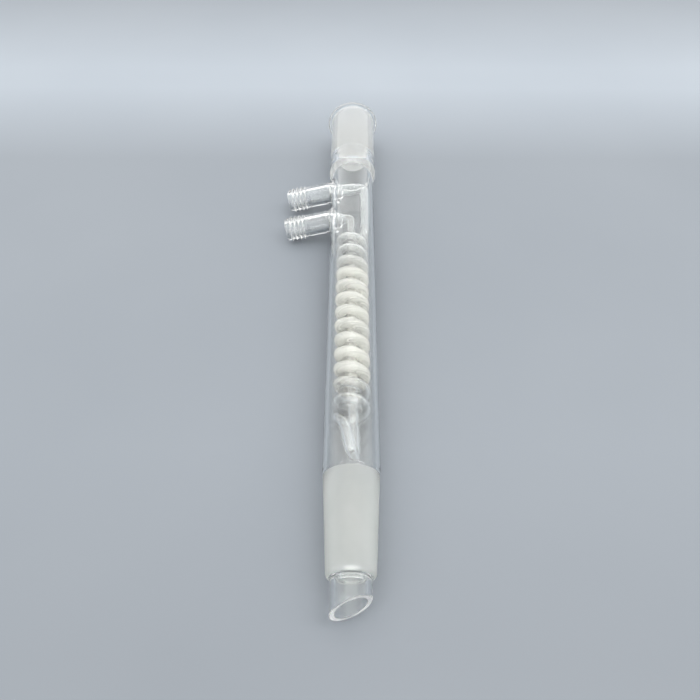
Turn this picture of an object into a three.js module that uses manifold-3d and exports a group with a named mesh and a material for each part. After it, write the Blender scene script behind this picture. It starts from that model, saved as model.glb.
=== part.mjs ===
import * as THREE from 'three';
import { mergeVertices } from 'three/addons/utils/BufferGeometryUtils.js';
import Module from 'manifold-3d';

// A laboratory coil condenser in clear glass, lying on a bench.
//
// It is drawn in its own frame first: +Y runs up the axis from the wide end of the ground cone to
// the ground socket, and the two hose arms point along -X. The last section lays it down, so that
// it rests on the socket's rim, the low end of the jacket and a hose arm. Millimetres throughout.

const wasm = await Module();
wasm.setup();

// ---------------------------------------------------------------- driving sizes

const GAP = 0.3;                       // left between two pieces that the flame would fuse
const DEGREE = Math.PI / 180;

// 24/40 ground joints: 24 mm at the wide end, 40 mm long, 1 in 10 on the diameter
const JOINT_WIDE_R = 12;
const JOINT_LENGTH = 40;
const JOINT_TAPER = 0.05;              // radius lost per millimetre of length

// ground cone, with the rolled throat that closes its low end
const CONE_WALL = 2;
const CONE_SHOULDER = 2.2;             // length of the rounded shoulder under the ground part
const THROAT_R = 4;
const THROAT_LIP = 1;                  // thickness of the throat's rolled lip
const THROAT_DROP = 1.2;               // how far the lip stands below the shoulder

// bevelled drip tip
const DRIP_SET_IN = 1.85;              // how much narrower than the cone's low end it is
const DRIP_WALL = 2;
const DRIP_LENGTH = 11;                // on the axis, from the cone to the bevel
const BEVEL_SLOPE = 0.42;              // length lost per millimetre across the bevel
const BEVEL_TURN = 190 * DEGREE;       // direction of the longest point, counted from +X

// jacket
const JACKET_R = 12.4;
const JACKET_WALL = 1.8;
const JACKET_LENGTH = 198.3;
const NECK_LENGTH = 3;                 // length over which it draws in to the cone

// shoulder, the thick round weld between the jacket and the socket
const SHOULDER_BULGE = 1.55;           // how far it stands out past the jacket
const SHOULDER_LENGTH = 14.7;
const SHOULDER_WIDEST = 0.4;           // where the bulge is, as a share of the shoulder's length

// ground socket and its beaded rim
const SOCKET_WALL = 1.6;               // at the mouth, the thinnest place
const SOCKET_TAIL = 5.7;               // clear length below the ground bore
const RIM_PROUD = 2.2;                 // how far the bead stands out past the socket
const RIM_FLARE = 6;                   // length over which the wall swells into the bead
const RIM_BEAD = 2.2;                  // radius of the bead's round edge
const RIM_MOUTH = 0.6;                 // bevel where the bore meets the flat end

// hose arms, with a 14 mm glass thread on each
const ARM_DROP = 9;                    // from the jacket's top to the middle of the upper arm
const ARM_SPACING = 25.8;
const ARM_LENGTH = 26.6;               // from the jacket's outside to the end face
const ARM_LEAN = 4 * DEGREE;           // the ends lean towards the cone
const ARM_R = 6.1;
const THREAD_DEPTH = 0.9;
const THREAD_PITCH = 2.4;
const THREAD_RIDGES = 5;
const THREAD_END = 0.5;                // plain length past the last ridge
const THREAD_CREST = 0.3;              // width of a ridge's top, as a share of the pitch

// ring seals, the flared rings that hold the inner tubes to the inside of the jacket
const SEAL_FLARE = 2.6;                // how far it spreads past the inner tube
const SEAL_LENGTH = 4;
const SEAL_LIP = 1.5;                  // thickness of the seal's thin end round the tube

// inner tubes
const CROSS_R = 3.6;                   // tubes that cross from the arms into the jacket
const CROSS_BORE_R = 2.6;
const CROSS_LEAN = 5 * DEGREE;         // they lean towards the cone as they cross
const CROSS_REACH = 1;                 // how far they reach into the arm, past the jacket
const CROSS_CLEARANCE = 0.4;           // between them and the arm's bore
const CROSS_TAPER = 3;                 // length over which they draw down to the next tube
const RISER_R = 2.8;
const RISER_BORE_R = 1.9;
const RISER_CLEARANCE = 0.6;           // between the riser and the inside of the jacket
const RISER_BEND = 3.8;
const CENTRE_R = 2.45;
const CENTRE_BORE_R = 1.6;
const CENTRE_BEND = 3;
const CENTRE_SWAY = 0.8;               // sideways offset of the centre tube at its two ends

// coil
const CORE_CLEARANCE = 0.35;           // between the coil and the centre tube
const COIL_TUBE_R = 2.6;
const COIL_BORE_R = 1.7;
const COIL_PITCH = 8.75;
const COIL_LOW_Y = 28.7;
const COIL_LOW_TURN = 180 * DEGREE;    // direction of the coil's low end, counted from +X
const COIL_PART_TURN = 0.36;           // its last turn stops this share of a turn past whole ones
const COIL_HEADROOM = 11;              // at least this much from its lead to the lower arm
const COIL_LEAD = 6.5;                 // height of the lead from the last turn to the riser

// U-bend below the coil
const BEND_LOW_Y = 8.6;                // its lowest point on the tube's centre line
const BEND_TOP_Y = 26.4;               // where it meets the centre tube
const BEND_SPREAD = 5.6;               // distance between its two legs at the bend
const BEND_TURN = 97 * DEGREE;         // direction from the centre leg to the return leg
const BEND_ROUND = 0.49;               // radius of the bend, as a share of that distance
const BEND_DRIFT = 0.8;                // sideways drift of the centre leg on its way down
const BEND_SPLAY = 2.2;                // sideways spread of the return leg on its way up
const BEND_LEG = 11;                   // height of the return leg
const BEND_EASE = 4.5;                 // length of the ease from the return leg into the coil

// fineness
const ROUND = 40;                      // sides of the large turned pieces
const SMALL_ROUND = 24;                // sides of the small turned pieces
const TUBE_SIDES = 8;
const BORE_SIDES = 5;
const COIL_STEPS = 16;                 // steps in one turn of the coil
const LEAD_STEPS = 5;
const RISER_STEPS = 14;
const CENTRE_STEPS = 24;
const BEND_STEPS = 30;
const ARC_STEPS = 3;
const LENGTH_SAMPLES = 2000;           // samples that measure the coil's length
const WELD = 1e-4;                     // vertices nearer than this are one

// ---------------------------------------------------------------- worked-out sizes

const JOINT_NARROW_R = JOINT_WIDE_R - JOINT_LENGTH * JOINT_TAPER;
const CONE_END = -(JOINT_LENGTH + CONE_SHOULDER);
const DRIP_R = JOINT_NARROW_R - DRIP_SET_IN;
const JACKET_BORE_R = JACKET_R - JACKET_WALL;
const SHOULDER_R = JACKET_R + SHOULDER_BULGE;
const SHOULDER_END = JACKET_LENGTH + SHOULDER_LENGTH;
const SOCKET_R = JOINT_WIDE_R + SOCKET_WALL;
const RIM_R = SOCKET_R + RIM_PROUD;
const GROUND_START = SHOULDER_END + SOCKET_TAIL;
const SOCKET_TOP = GROUND_START + JOINT_LENGTH;
const UPPER_ARM_Y = JACKET_LENGTH - ARM_DROP;
const LOWER_ARM_Y = UPPER_ARM_Y - ARM_SPACING;
const ARM_REACH = JACKET_R + ARM_LENGTH * Math.cos(ARM_LEAN);
const ARM_BORE_R = CROSS_R + CROSS_CLEARANCE;
const THREAD_R = ARM_R + THREAD_DEPTH;
const SEAL_R = CROSS_R + SEAL_FLARE;
const RISER_X = JACKET_BORE_R - RISER_CLEARANCE - RISER_R;

// The coil clears the centre tube inside it, and stops short of the lower arm's tube.
const COIL_MEAN_R = CENTRE_SWAY + CENTRE_R + CORE_CLEARANCE + COIL_TUBE_R;
const coilRoom = LOWER_ARM_Y - COIL_HEADROOM - COIL_LEAD - COIL_LOW_Y;
const COIL_TURNS = Math.floor(coilRoom / COIL_PITCH - COIL_PART_TURN) + COIL_PART_TURN;
const RISER_END = COIL_LOW_Y + COIL_TURNS * COIL_PITCH + COIL_LEAD;

// ---------------------------------------------------------------- materials

const clearGlass = new THREE.MeshStandardMaterial({ color: 0xdfe8e6, roughness: 0.05, metalness: 0 });
const groundGlass = new THREE.MeshStandardMaterial({ color: 0xd9dcda, roughness: 0.7, metalness: 0 });
const coilGlass = new THREE.MeshStandardMaterial({ color: 0xeef1ec, roughness: 0.05, metalness: 0 });

// ---------------------------------------------------------------- geometry helpers

const at = (x, y, z = 0) => new THREE.Vector3(x, y, z);

// Turns a closed outline of (radius, height) round the Y axis.
function turned(outline, sides) {
  return new THREE.LatheGeometry(outline.getPoints(ARC_STEPS), sides);
}

// A plain pipe from one height to another.
function pipe(outerR, boreR, low, high, sides) {
  const outline = new THREE.Path();
  outline.moveTo(outerR, low);
  outline.lineTo(outerR, high);
  outline.lineTo(boreR, high);
  outline.lineTo(boreR, low);
  outline.closePath();
  return turned(outline, sides);
}

// A solid round bar of a given length, centred on the origin along Y.
function bar(radius, length, sides) {
  return new THREE.CylinderGeometry(radius, radius, length, sides);
}

// Stands a piece that is turned round +Y on the jacket's outside, pointing out along a hose arm.
function outward(geometry, height) {
  geometry.rotateZ(Math.PI / 2 + ARM_LEAN);
  return geometry.translate(-JACKET_R, height, 0);
}

// The same, pointing in along the tube that crosses the jacket.
function inward(geometry, height) {
  geometry.rotateZ(-Math.PI / 2 - CROSS_LEAN);
  return geometry.translate(-JACKET_R, height, 0);
}

function circle(radius, sides) {
  const step = 2 * Math.PI / sides;
  return Array.from({ length: sides }, (_, i) =>
    new THREE.Vector2(radius * Math.cos(i * step), radius * Math.sin(i * step)));
}

// A hollow tube along a curve.
function tube(path, outerR, boreR, steps) {
  const section = new THREE.Shape(circle(outerR, TUBE_SIDES));
  section.holes.push(new THREE.Path(circle(boreR, BORE_SIDES)));
  return new THREE.ExtrudeGeometry(section, { extrudePath: path, steps, bevelEnabled: false });
}

// Straight runs through the given corners, each corner rounded to the bend radius.
function bentPath(corners, bend) {
  const roundness = 0.552;             // a cubic curve this tight is a quarter circle
  const path = new THREE.CurvePath();
  let start = corners[0];
  for (let i = 1; i < corners.length - 1; i++) {
    const corner = corners[i];
    const enter = corner.clone().add(start.clone().sub(corner).setLength(bend));
    const leave = corner.clone().add(corners[i + 1].clone().sub(corner).setLength(bend));
    path.add(new THREE.LineCurve3(start, enter));
    path.add(new THREE.CubicBezierCurve3(
      enter, enter.clone().lerp(corner, roundness), leave.clone().lerp(corner, roundness), leave));
    start = leave;
  }
  path.add(new THREE.LineCurve3(start, corners.at(-1)));
  return path;
}

// A left-handed helix round the Y axis, from the coil's low end upwards.
class Helix extends THREE.Curve {
  constructor(radius, pitch, turns, lowY, lowTurn) {
    super();
    Object.assign(this, { radius, pitch, turns, lowY, lowTurn });
  }

  getPoint(t, target = new THREE.Vector3()) {
    const turn = this.lowTurn + 2 * Math.PI * this.turns * t;
    const height = this.lowY + this.pitch * this.turns * t;
    return target.set(this.radius * Math.cos(turn), height, this.radius * Math.sin(turn));
  }
}

function solid(geometry) {
  const bare = geometry.clone();
  bare.deleteAttribute('normal');
  bare.deleteAttribute('uv');
  const welded = mergeVertices(bare, WELD);
  return new wasm.Manifold(new wasm.Mesh({
    numProp: 3,
    vertProperties: new Float32Array(welded.attributes.position.array),
    triVerts: new Uint32Array(welded.index.array),
  }));
}

function meshed(manifold) {
  const { vertProperties, triVerts } = manifold.getMesh();
  const geometry = new THREE.BufferGeometry();
  geometry.setAttribute('position', new THREE.BufferAttribute(vertProperties, 3));
  geometry.setIndex(new THREE.BufferAttribute(triVerts, 1));
  geometry.computeVertexNormals();
  return geometry;
}

const condenser = new THREE.Group();

function addPiece(name, geometry, material) {
  const mesh = new THREE.Mesh(geometry, material);
  mesh.name = name;
  condenser.add(mesh);
}

// ---------------------------------------------------------------- cone and drip tip

// The ground cone. Its bore follows the outside, then closes to the throat.
function coneJoint() {
  const boreWide = JOINT_WIDE_R - CONE_WALL;
  const boreNarrow = JOINT_NARROW_R - CONE_WALL;
  const lipEnd = CONE_END - THROAT_DROP;
  const floor = -(JOINT_LENGTH - CONE_WALL / 2);
  const outline = new THREE.Path();
  outline.moveTo(THROAT_R, CONE_END + CONE_WALL / 2);
  outline.lineTo(THROAT_R, lipEnd);
  outline.lineTo(THROAT_R + THROAT_LIP, lipEnd);
  outline.lineTo(THROAT_R + THROAT_LIP, CONE_END);
  outline.lineTo(DRIP_R - DRIP_WALL / 2, CONE_END);
  outline.quadraticCurveTo(JOINT_NARROW_R, CONE_END, JOINT_NARROW_R, -JOINT_LENGTH);
  outline.lineTo(JOINT_WIDE_R, 0);
  outline.lineTo(boreWide, 0);
  outline.lineTo(boreNarrow, floor);
  outline.closePath();
  return turned(outline, ROUND);
}

// The drip tip: a short tube cut off by a slanted plane.
function dripTip() {
  const top = CONE_END - GAP;
  const length = DRIP_LENGTH + 2 * BEVEL_SLOPE * DRIP_R;
  const blank = solid(pipe(DRIP_R, DRIP_R - DRIP_WALL, top - length, top, ROUND));
  const waste = 4 * DRIP_R;
  const block = new THREE.BoxGeometry(waste, waste, waste);
  block.translate(0, -waste / 2, 0);
  block.rotateZ(Math.atan(BEVEL_SLOPE));
  block.rotateY(Math.PI - BEVEL_TURN);
  block.translate(0, CONE_END - DRIP_LENGTH, 0);
  return meshed(blank.subtract(solid(block)));
}

addPiece('cone_joint', coneJoint(), groundGlass);
addPiece('drip_tip', dripTip(), clearGlass);

// ---------------------------------------------------------------- jacket, shoulder and socket

// The jacket, drawn in to the cone's width at its low end, with a hole in its wall for each
// inner tube.
function jacketTube() {
  const outline = new THREE.Path();
  outline.moveTo(JOINT_WIDE_R - CONE_WALL, GAP);
  outline.lineTo(JOINT_WIDE_R, GAP);
  outline.lineTo(JACKET_R, NECK_LENGTH);
  outline.lineTo(JACKET_R, JACKET_LENGTH - GAP);
  outline.lineTo(JACKET_BORE_R, JACKET_LENGTH - GAP);
  outline.lineTo(JACKET_BORE_R, NECK_LENGTH);
  outline.closePath();
  let wall = solid(turned(outline, ROUND));
  for (const height of [UPPER_ARM_Y, LOWER_ARM_Y]) {
    const drill = inward(bar(CROSS_R + GAP, JACKET_R, SMALL_ROUND), height);
    wall = wall.subtract(solid(drill));
  }
  return meshed(wall);
}

// The round weld. Its outside bulges from the jacket and falls back to the socket.
function shoulder() {
  const low = JACKET_LENGTH;
  const widest = JACKET_LENGTH + SHOULDER_WIDEST * SHOULDER_LENGTH;
  const high = SHOULDER_END - GAP;
  const outline = new THREE.Path();
  outline.moveTo(JACKET_BORE_R, low);
  outline.lineTo(JACKET_R, low);
  outline.quadraticCurveTo(SHOULDER_R, (low + widest) / 2, SHOULDER_R, widest);
  outline.quadraticCurveTo(SHOULDER_R, (widest + high) / 2, SOCKET_R, high);
  outline.lineTo(JOINT_NARROW_R, high);
  outline.closePath();
  return turned(outline, ROUND);
}

// The ground socket: a bore that takes a 24/40 cone, and a bead round its mouth.
function socketJoint() {
  const neck = SOCKET_TOP - RIM_FLARE;
  const beadY = SOCKET_TOP - RIM_BEAD;
  const outline = new THREE.Path();
  outline.moveTo(JOINT_NARROW_R, SHOULDER_END);
  outline.lineTo(SOCKET_R, SHOULDER_END);
  outline.lineTo(SOCKET_R, neck);
  outline.quadraticCurveTo(SOCKET_R, beadY - RIM_BEAD / 2, RIM_R, beadY);
  outline.absarc(RIM_R - RIM_BEAD, beadY, RIM_BEAD, 0, Math.PI / 2, false);
  outline.lineTo(JOINT_WIDE_R + RIM_MOUTH, SOCKET_TOP);
  outline.lineTo(JOINT_WIDE_R, SOCKET_TOP - RIM_MOUTH);
  outline.lineTo(JOINT_NARROW_R, GROUND_START);
  outline.closePath();
  return turned(outline, ROUND);
}

addPiece('jacket_tube', jacketTube(), clearGlass);
addPiece('shoulder', shoulder(), clearGlass);
addPiece('socket_joint', socketJoint(), groundGlass);

// ---------------------------------------------------------------- hose arms

// One arm: a thick tube with the thread's ridges, its root cut to sit on the jacket.
function hoseArm(height) {
  const threadLow = ARM_LENGTH - THREAD_END - THREAD_RIDGES * THREAD_PITCH;
  const outline = new THREE.Path();
  outline.moveTo(ARM_BORE_R, -JACKET_R / 2);
  outline.lineTo(ARM_R, -JACKET_R / 2);
  outline.lineTo(ARM_R, threadLow);
  for (let i = 0; i < THREAD_RIDGES; i++) {
    const root = threadLow + i * THREAD_PITCH;
    outline.lineTo(THREAD_R, root + THREAD_PITCH * (1 - THREAD_CREST) / 2);
    outline.lineTo(THREAD_R, root + THREAD_PITCH * (1 + THREAD_CREST) / 2);
    outline.lineTo(ARM_R, root + THREAD_PITCH);
  }
  outline.lineTo(ARM_R, ARM_LENGTH);
  outline.lineTo(ARM_BORE_R, ARM_LENGTH);
  outline.closePath();
  const arm = outward(turned(outline, SMALL_ROUND), height);
  const seat = bar(JACKET_R + GAP, 4 * ARM_LENGTH, ROUND);
  seat.translate(0, height, 0);
  return meshed(solid(arm).subtract(solid(seat)));
}

// One ring seal: a flared ring round the inner tube, cut to sit on the jacket's inside.
function ringSeal(height) {
  const thinEnd = JACKET_WALL + SEAL_LENGTH;
  const outline = new THREE.Path();
  outline.moveTo(CROSS_R + GAP, 0);
  outline.lineTo(SEAL_R, 0);
  outline.lineTo(SEAL_R, JACKET_WALL);
  outline.quadraticCurveTo(CROSS_R + SEAL_LIP, JACKET_WALL, CROSS_R + SEAL_LIP, thinEnd);
  outline.lineTo(CROSS_R + GAP, thinEnd);
  outline.closePath();
  const ring = inward(turned(outline, SMALL_ROUND), height);
  const inside = bar(JACKET_BORE_R - GAP, 4 * SEAL_R, ROUND);
  inside.translate(0, height, 0);
  return meshed(solid(ring).intersect(solid(inside)));
}

for (const [level, height] of [['upper', UPPER_ARM_Y], ['lower', LOWER_ARM_Y]]) {
  addPiece(`${level}_hose_arm`, hoseArm(height), clearGlass);
  addPiece(`${level}_ring_seal`, ringSeal(height), clearGlass);
}

// ---------------------------------------------------------------- inner tubes

// Where the centre line of a crossing tube is, at a distance x from the condenser's axis.
function crossingAt(height, x) {
  return at(x, height - (x + JACKET_R) * Math.tan(CROSS_LEAN));
}

// A straight tube from an arm across into the jacket, drawn down at its end to the next tube.
function crossTube(height, end, nextR, nextBoreR) {
  const length = end.distanceTo(at(-JACKET_R, height)) - GAP;
  const outline = new THREE.Path();
  outline.moveTo(CROSS_BORE_R, -CROSS_REACH);
  outline.lineTo(CROSS_R, -CROSS_REACH);
  outline.lineTo(CROSS_R, length - CROSS_TAPER);
  outline.lineTo(nextR, length);
  outline.lineTo(nextBoreR, length);
  outline.lineTo(CROSS_BORE_R, length - CROSS_TAPER);
  outline.closePath();
  return inward(turned(outline, SMALL_ROUND), height);
}

const riserStart = crossingAt(UPPER_ARM_Y, RISER_X - RISER_BEND - GAP);
const riserPath = bentPath([
  riserStart,
  crossingAt(UPPER_ARM_Y, RISER_X),
  at(RISER_X, RISER_END + GAP),
], RISER_BEND);

const centreStart = crossingAt(LOWER_ARM_Y, -CENTRE_SWAY - CENTRE_BEND - GAP);
const centrePath = bentPath([
  centreStart,
  crossingAt(LOWER_ARM_Y, -CENTRE_SWAY),
  at(CENTRE_SWAY, BEND_TOP_Y + GAP),
], CENTRE_BEND);

addPiece('upper_cross_tube', crossTube(UPPER_ARM_Y, riserStart, RISER_R, RISER_BORE_R), clearGlass);
addPiece('riser_tube', tube(riserPath, RISER_R, RISER_BORE_R, RISER_STEPS), clearGlass);
addPiece('lower_cross_tube', crossTube(LOWER_ARM_Y, centreStart, CENTRE_R, CENTRE_BORE_R), clearGlass);
addPiece('centre_tube', tube(centrePath, CENTRE_R, CENTRE_BORE_R, CENTRE_STEPS), clearGlass);

// ---------------------------------------------------------------- coil and U-bend

const coilHelix = new Helix(COIL_MEAN_R, COIL_PITCH, COIL_TURNS, COIL_LOW_Y, COIL_LOW_TURN);

// The coil: its turns, then a lead that swings out and up to the riser.
function coilPath() {
  const last = coilHelix.getPoint(1);
  const heading = coilHelix.getTangent(1).multiplyScalar(COIL_LEAD / 2);
  const end = at(RISER_X, RISER_END);
  const path = new THREE.CurvePath();
  path.add(coilHelix);
  path.add(new THREE.CubicBezierCurve3(
    last, last.clone().add(heading), end.clone().setY(RISER_END - COIL_LEAD / 2), end));
  path.arcLengthDivisions = LENGTH_SAMPLES;
  return path;
}

// The U-bend: down from the centre tube, round, up the return leg and out to the coil's low end.
function bendPath() {
  const spread = at(Math.cos(BEND_TURN), 0, Math.sin(BEND_TURN)).multiplyScalar(BEND_SPREAD);
  const centreLeg = at(CENTRE_SWAY + BEND_DRIFT, BEND_LOW_Y);
  const returnLeg = centreLeg.clone().add(spread);
  const legTop = returnLeg.clone().add(at(-BEND_SPLAY, BEND_LEG));
  const path = bentPath(
    [at(CENTRE_SWAY, BEND_TOP_Y), centreLeg, returnLeg, legTop], BEND_SPREAD * BEND_ROUND);
  const rising = legTop.clone().sub(returnLeg).setLength(BEND_EASE);
  const heading = coilHelix.getTangent(0).negate();
  const coilEnd = coilHelix.getPoint(0).add(heading.clone().multiplyScalar(GAP));
  path.add(new THREE.CubicBezierCurve3(
    legTop, legTop.clone().add(rising),
    coilEnd.clone().add(heading.multiplyScalar(BEND_EASE)), coilEnd));
  return path;
}

const coilSteps = Math.round(COIL_TURNS * COIL_STEPS) + LEAD_STEPS;
addPiece('coil', tube(coilPath(), COIL_TUBE_R, COIL_BORE_R, coilSteps), coilGlass);
addPiece('u_bend', tube(bendPath(), CENTRE_R, CENTRE_BORE_R, BEND_STEPS), clearGlass);

// ---------------------------------------------------------------- laid on the bench

// The axis slopes up to the rim, which is wider than the jacket's low end.
const slope = Math.asin((RIM_R - JACKET_R) / (SOCKET_TOP - RIM_BEAD - NECK_LENGTH));

// It is rolled over until the lower arm's thread touches the bench.
const armEndY = LOWER_ARM_Y - ARM_LENGTH * Math.sin(ARM_LEAN);
const axisHeight = JACKET_R + (armEndY - NECK_LENGTH) * Math.sin(slope);
const roll = Math.asin(axisHeight / Math.hypot(ARM_REACH, THREAD_R)) - Math.atan2(THREAD_R, ARM_REACH);

condenser.rotation.y = -roll;
const lyingCondenser = new THREE.Group();
lyingCondenser.rotation.x = slope;
lyingCondenser.add(condenser);

const onBench = new THREE.Group();
onBench.add(lyingCondenser);
onBench.updateMatrixWorld(true);
const extent = new THREE.Box3().setFromObject(onBench, true);
const middle = extent.getCenter(at(0, 0, 0));
lyingCondenser.position.set(-middle.x, -middle.y, -extent.min.z);

export default onBench;
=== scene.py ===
import math

import bmesh
import bpy
import numpy as np
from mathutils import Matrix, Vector


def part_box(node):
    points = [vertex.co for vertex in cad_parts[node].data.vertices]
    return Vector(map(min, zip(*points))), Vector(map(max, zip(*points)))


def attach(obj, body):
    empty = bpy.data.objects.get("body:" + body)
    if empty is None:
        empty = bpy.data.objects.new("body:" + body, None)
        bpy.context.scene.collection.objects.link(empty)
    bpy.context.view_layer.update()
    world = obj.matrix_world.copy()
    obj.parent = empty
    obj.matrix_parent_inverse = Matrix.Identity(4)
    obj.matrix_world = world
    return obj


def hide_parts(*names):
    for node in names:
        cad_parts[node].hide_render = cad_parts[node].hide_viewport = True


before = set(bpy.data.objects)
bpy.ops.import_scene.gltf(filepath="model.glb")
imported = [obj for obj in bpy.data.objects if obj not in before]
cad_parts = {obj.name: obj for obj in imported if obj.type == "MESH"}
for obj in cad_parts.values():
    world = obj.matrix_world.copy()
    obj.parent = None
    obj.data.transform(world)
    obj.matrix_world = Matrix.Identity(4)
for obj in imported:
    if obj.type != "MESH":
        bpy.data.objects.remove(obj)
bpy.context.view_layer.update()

# A coil condenser in clear glass, lying on a bench. Sizes are in millimetres, in the condenser's
# own frame: +Y runs up its axis from the wide end of the ground cone to the ground socket, and the
# hose arms point along -X. place() lays every point on the bench, in metres.

MM = 0.001

# ---------------------------------------------------------------- driving sizes

JOINT_WIDE_R = 12.0
JOINT_LENGTH = 40.0
JOINT_TAPER = 0.05

CONE_WALL = 2.0
CONE_SHOULDER = 2.2
THROAT_R = 4.0
THROAT_LIP = 1.0
THROAT_DROP = 1.2

DRIP_SET_IN = 1.85
DRIP_WALL = 2.0
DRIP_LENGTH = 11.0
BEVEL_SLOPE = 0.42
BEVEL_TURN = math.radians(190)

JACKET_R = 12.4
JACKET_WALL = 1.8
JACKET_LENGTH = 198.3
NECK_LENGTH = 3.0

SHOULDER_BULGE = 1.55
SHOULDER_LENGTH = 14.7
SHOULDER_WIDEST = 0.4

SOCKET_WALL = 1.6
SOCKET_TAIL = 5.7
RIM_PROUD = 2.2
RIM_FLARE = 6.0
RIM_BEAD = 2.2
RIM_MOUTH = 0.6

ARM_DROP = 9.0
ARM_SPACING = 25.8
ARM_LENGTH = 26.6
ARM_LEAN = math.radians(4)
ARM_R = 6.1
THREAD_DEPTH = 0.9
THREAD_PITCH = 2.4
THREAD_RIDGES = 5
THREAD_END = 0.5

SEAL_LENGTH = 4.0
SEAL_LIP = 1.5
SEAL_FLARE = 2.6
CROSS_R = 3.6
CROSS_BORE_R = 2.6
CROSS_LEAN = math.radians(5)
CROSS_CLEARANCE = 0.4
CROSS_TAPER = 3.0
RISER_R = 2.8
RISER_BORE_R = 1.9
RISER_CLEARANCE = 0.6
RISER_BEND = 3.8
CENTRE_R = 2.45
CENTRE_BORE_R = 1.6
CENTRE_BEND = 3.0
CENTRE_SWAY = 0.8

CORE_CLEARANCE = 0.35
COIL_TUBE_R = 2.6
COIL_BORE_R = 1.7
COIL_PITCH = 8.75
COIL_LOW_Y = 28.7
COIL_LOW_TURN = math.radians(180)
COIL_PART_TURN = 0.36
COIL_HEADROOM = 11.0
COIL_LEAD = 6.5

BEND_LOW_Y = 8.6
BEND_TOP_Y = 26.4
BEND_SPREAD = 5.6
BEND_TURN = math.radians(97)
BEND_ROUND = 0.49
BEND_DRIFT = 0.8
BEND_SPLAY = 2.2
BEND_LEG = 11.0
BEND_EASE = 4.5

GAP = 0.3                     # the solids' gap where two lengths of glass are fused

# details that only show here
FIRE_ROUND = 0.45             # radius of a fire-polished edge
RIDGE_WIDTH = 0.62            # width of a thread's ridge at its foot, as a share of the pitch
CREST_SHARE = 0.5             # a ridge is painted whitish above this share of its height, as the highlight its crest catches
BEVEL_ROUND = 0.28            # radius of the bevel's cut edge
ARM_FILLET = 2.3              # where an arm is fused to the jacket
ARM_BEAD = 0.35               # the soft ring that the flame leaves round an arm's root
ARM_BEAD_AT = 3.4
ARM_BEAD_LENGTH = 1.1

PAINTED_GLARE_START = 42.0            # the stretch of the coil and its core where the overhead light's glare is painted in, cream-white
PAINTED_GLARE_END = 121.0
PAINTED_GLARE_EASE = 6.0
PAINTED_GLARE_REST = 0.14             # how much of it is left above that stretch

# fineness
ROUND = 160
TUBE_SIDES = 28
COIL_STEPS = 60
BEND_STEPS = 16               # steps round one bend of a tube
CROSS_STEPS = 24
ROOT_STEPS = 7                # rings between an arm's root and its window in the jacket
FILLET_STEPS = 10
BARE_STEPS = 26
THREAD_STEPS = 110
FIRE_STEPS = 5
BORE_STEPS = 15
FACE_STEPS = 8                # steps across the fused face at an arm's root
SEAL_STEPS = 10
WINDOW_COLUMNS = 22           # half the columns of the jacket's grid that an arm's root takes
WINDOW_HALF = 8.8             # half the length of jacket that an arm's root takes
WINDOW_ROWS = 16
SHARP = math.radians(38)
WELD = 1e-7                   # metres; nearer vertices than this are one
QUARTER_HANDLE = 0.552        # handle of the cubic curve that makes a quarter of a circle

GLASS_IOR = 1.474             # borosilicate

# ---------------------------------------------------------------- worked-out sizes

JOINT_NARROW_R = JOINT_WIDE_R - JOINT_LENGTH * JOINT_TAPER
CONE_END = -(JOINT_LENGTH + CONE_SHOULDER)
DRIP_R = JOINT_NARROW_R - DRIP_SET_IN
JACKET_BORE_R = JACKET_R - JACKET_WALL
SHOULDER_R = JACKET_R + SHOULDER_BULGE
SHOULDER_END = JACKET_LENGTH + SHOULDER_LENGTH
SOCKET_R = JOINT_WIDE_R + SOCKET_WALL
RIM_R = SOCKET_R + RIM_PROUD
GROUND_START = SHOULDER_END + SOCKET_TAIL
SOCKET_TOP = GROUND_START + JOINT_LENGTH
UPPER_ARM_Y = JACKET_LENGTH - ARM_DROP
LOWER_ARM_Y = UPPER_ARM_Y - ARM_SPACING
ARM_REACH = JACKET_R + ARM_LENGTH * math.cos(ARM_LEAN)
ARM_BORE_R = CROSS_R + CROSS_CLEARANCE
THREAD_R = ARM_R + THREAD_DEPTH
RISER_X = JACKET_BORE_R - RISER_CLEARANCE - RISER_R
COIL_MEAN_R = CENTRE_SWAY + CENTRE_R + CORE_CLEARANCE + COIL_TUBE_R
coil_room = LOWER_ARM_Y - COIL_HEADROOM - COIL_LEAD - COIL_LOW_Y
COIL_TURNS = math.floor(coil_room / COIL_PITCH - COIL_PART_TURN) + COIL_PART_TURN
RISER_END = COIL_LOW_Y + COIL_TURNS * COIL_PITCH + COIL_LEAD
TIP_TOP = CONE_END - 0.6      # where the cone's glass goes over into the drip tip's

slope = math.asin((RIM_R - JACKET_R) / (SOCKET_TOP - RIM_BEAD - NECK_LENGTH))
arm_end_y = LOWER_ARM_Y - ARM_LENGTH * math.sin(ARM_LEAN)
axis_height = JACKET_R + (arm_end_y - NECK_LENGTH) * math.sin(slope)
arm_rise = math.atan2(THREAD_R, ARM_REACH)
roll = math.asin(axis_height / math.hypot(ARM_REACH, THREAD_R)) - arm_rise


def turned_over(points):
    """Rolls and tilts points as the condenser lies, without moving them to the bench."""
    p = np.asarray(points, float)
    x, y, z = p[..., 0], p[..., 1], p[..., 2]
    rolled_x = x * math.cos(roll) - z * math.sin(roll)
    rolled_z = x * math.sin(roll) + z * math.cos(roll)
    lifted_y = y * math.cos(slope) - rolled_z * math.sin(slope)
    lifted_z = y * math.sin(slope) + rolled_z * math.cos(slope)
    return np.stack([rolled_x, lifted_y, lifted_z], -1)


low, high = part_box("jacket_tube")
middle_of_jacket = np.array([0.0, JACKET_LENGTH / 2, 0.0])
offset = (np.array(low) + np.array(high)) / 2 - turned_over(middle_of_jacket) * MM


def place(points):
    return turned_over(points) * MM + offset


# ---------------------------------------------------------------- materials


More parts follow.
